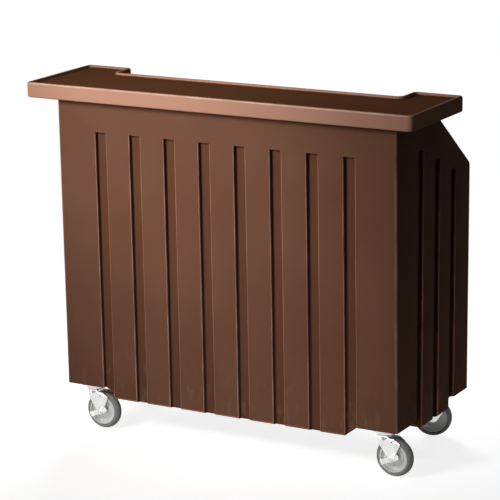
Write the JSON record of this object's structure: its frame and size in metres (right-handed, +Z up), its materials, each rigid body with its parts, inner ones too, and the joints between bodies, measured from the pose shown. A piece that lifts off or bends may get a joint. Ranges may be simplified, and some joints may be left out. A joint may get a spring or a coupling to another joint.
{
  "type": "portable bar",
  "caption": "Wheeled serving bar: fluted moulded body, lipped counter with a rear cut-out, ice bin with sliding covers, bottle wells, speed rail and open storage.",
  "frame": {"origin": "on the floor at the middle of the bar's box", "axes": "+X along the counter to the right as the guests see it, +Y from the guests towards the server, +Z up"},
  "size_m": [1.384, 0.63, 1.19],
  "materials": {
    "body_plastic": "satin dark brown moulded polyethylene, fine grain",
    "counter_plastic": "satin dark brown moulded polyethylene, fine grain",
    "deck_plastic": "satin dark brown sheet polyethylene",
    "liner_plastic": "off-white food-grade polyethylene",
    "jacket_plastic": "dark brown skin over foam",
    "cover_plastic": "off-white sheet polyethylene",
    "track_plastic": "dark extruded plastic",
    "pipe_plastic": "white pipe plastic",
    "angle_metal": "mill finish aluminium angle",
    "stainless": "brushed stainless steel",
    "zinc_steel": "bright zinc plated pressed steel",
    "bright_steel": "bright plated steel",
    "valve_brass": "machined brass",
    "handle_paint": "black dipped lever",
    "wheel_core": "light grey moulded nylon core",
    "tyre": "grey non-marking rubber"
  },
  "bodies": {
    "cabinet": {"body_shell": "body_plastic", "counter_top": "counter_plastic", "counter_brackets": "angle_metal", "counter_screws": "bright_steel", "work_deck": "deck_plastic", "deck_cleats": "angle_metal", "deck_screws": "bright_steel", "storage_shelf": "deck_plastic", "shelf_cleats": "angle_metal", "shelf_screws": "bright_steel", "ice_bin": "liner_plastic", "bin_jacket": "jacket_plastic", "drain_strainer": "stainless", "drain_nut": "pipe_plastic", "drain_pipe": "pipe_plastic", "drain_valve_body": "valve_brass", "bottle_well_left": "liner_plastic", "bottle_well_right": "liner_plastic", "cover_track_front": "track_plastic", "cover_track_rear": "track_plastic", "track_screws": "bright_steel", "speed_rail_hanger": "stainless", "hanger_screws": "bright_steel", "caster_kingpins": "bright_steel", "caster_swivel_balls": "bright_steel", "caster_bolts": "bright_steel", "caster_inserts": "valve_brass", "front_left_caster_plate": "bright_steel", "front_right_caster_plate": "bright_steel", "rear_left_caster_plate": "bright_steel", "rear_right_caster_plate": "bright_steel"},
    "front_left_swivel": {"front_left_caster_fork": "zinc_steel", "front_left_caster_axle": "bright_steel"},
    "front_left_wheel": {"front_left_caster_wheel": "wheel_core", "front_left_caster_tyre": "tyre"},
    "front_left_brake": {"front_left_brake_lever": "zinc_steel"},
    "front_right_swivel": {"front_right_caster_fork": "zinc_steel", "front_right_caster_axle": "bright_steel"},
    "front_right_wheel": {"front_right_caster_wheel": "wheel_core", "front_right_caster_tyre": "tyre"},
    "front_right_brake": {"front_right_brake_lever": "zinc_steel"},
    "rear_left_swivel": {"rear_left_caster_fork": "zinc_steel", "rear_left_caster_axle": "bright_steel"},
    "rear_left_wheel": {"rear_left_caster_wheel": "wheel_core", "rear_left_caster_tyre": "tyre"},
    "rear_right_swivel": {"rear_right_caster_fork": "zinc_steel", "rear_right_caster_axle": "bright_steel"},
    "rear_right_wheel": {"rear_right_caster_wheel": "wheel_core", "rear_right_caster_tyre": "tyre"},
    "left_cover": {"bin_cover_left": "cover_plastic"},
    "right_cover": {"bin_cover_right": "cover_plastic"},
    "drain_handle": {"drain_valve_handle": "handle_paint", "drain_valve_ball": "bright_steel"},
    "bottle_rail": {"speed_rail": "stainless"}
  },
  "joints": [
    {"name": "front_left_swivel_turn", "type": "hinge", "parent": "cabinet", "child": "front_left_swivel", "pos_m": [-0.541, -0.178, 0.145], "axis": [0, 0, 1], "continuous": true},
    {"name": "front_left_wheel_spin", "type": "hinge", "parent": "front_left_swivel", "child": "front_left_wheel", "pos_m": [-0.50501, -0.17863, 0.0635], "axis": [0.0175, 0.9998, 0], "continuous": true},
    {"name": "front_left_brake_press", "type": "hinge", "parent": "front_left_swivel", "child": "front_left_brake", "pos_m": [-0.50501, -0.17863, 0.0635], "axis": [-0.0175, -0.9998, 0], "range_deg": [0, 35]},
    {"name": "front_right_swivel_turn", "type": "hinge", "parent": "cabinet", "child": "front_right_swivel", "pos_m": [0.541, -0.178, 0.145], "axis": [0, 0, 1], "continuous": true},
    {"name": "front_right_wheel_spin", "type": "hinge", "parent": "front_right_swivel", "child": "front_right_wheel", "pos_m": [0.57699, -0.17863, 0.0635], "axis": [0.0175, 0.9998, 0], "continuous": true},
    {"name": "front_right_brake_press", "type": "hinge", "parent": "front_right_swivel", "child": "front_right_brake", "pos_m": [0.57699, -0.17863, 0.0635], "axis": [-0.0175, -0.9998, 0], "range_deg": [0, 35]},
    {"name": "rear_left_swivel_turn", "type": "hinge", "parent": "cabinet", "child": "rear_left_swivel", "pos_m": [-0.551, 0.256, 0.145], "axis": [0, 0, 1], "continuous": true},
    {"name": "rear_left_wheel_spin", "type": "hinge", "parent": "rear_left_swivel", "child": "rear_left_wheel", "pos_m": [-0.58665, 0.25099, 0.0635], "axis": [0.1392, -0.9903, 0], "continuous": true},
    {"name": "rear_right_swivel_turn", "type": "hinge", "parent": "cabinet", "child": "rear_right_swivel", "pos_m": [0.551, 0.256, 0.145], "axis": [0, 0, 1], "continuous": true},
    {"name": "rear_right_wheel_spin", "type": "hinge", "parent": "rear_right_swivel", "child": "rear_right_wheel", "pos_m": [0.51717, 0.24369, 0.0635], "axis": [0.342, -0.9397, 0], "continuous": true},
    {"name": "left_cover_slide", "type": "slide", "parent": "cabinet", "child": "left_cover", "axis": [1, 0, 0], "range_m": [0, 0.27]},
    {"name": "right_cover_slide", "type": "slide", "parent": "cabinet", "child": "right_cover", "axis": [-1, 0, 0], "range_m": [0, 0.27]},
    {"name": "drain_handle_turn", "type": "hinge", "parent": "cabinet", "child": "drain_handle", "pos_m": [0, 0.235, 0.503], "axis": [0, 0, -1], "range_deg": [0, 90]},
    {"name": "speed_rail_lift", "type": "slide", "parent": "cabinet", "child": "bottle_rail", "axis": [0, 0, 1], "range_m": [0, 0.06]}
  ]
}
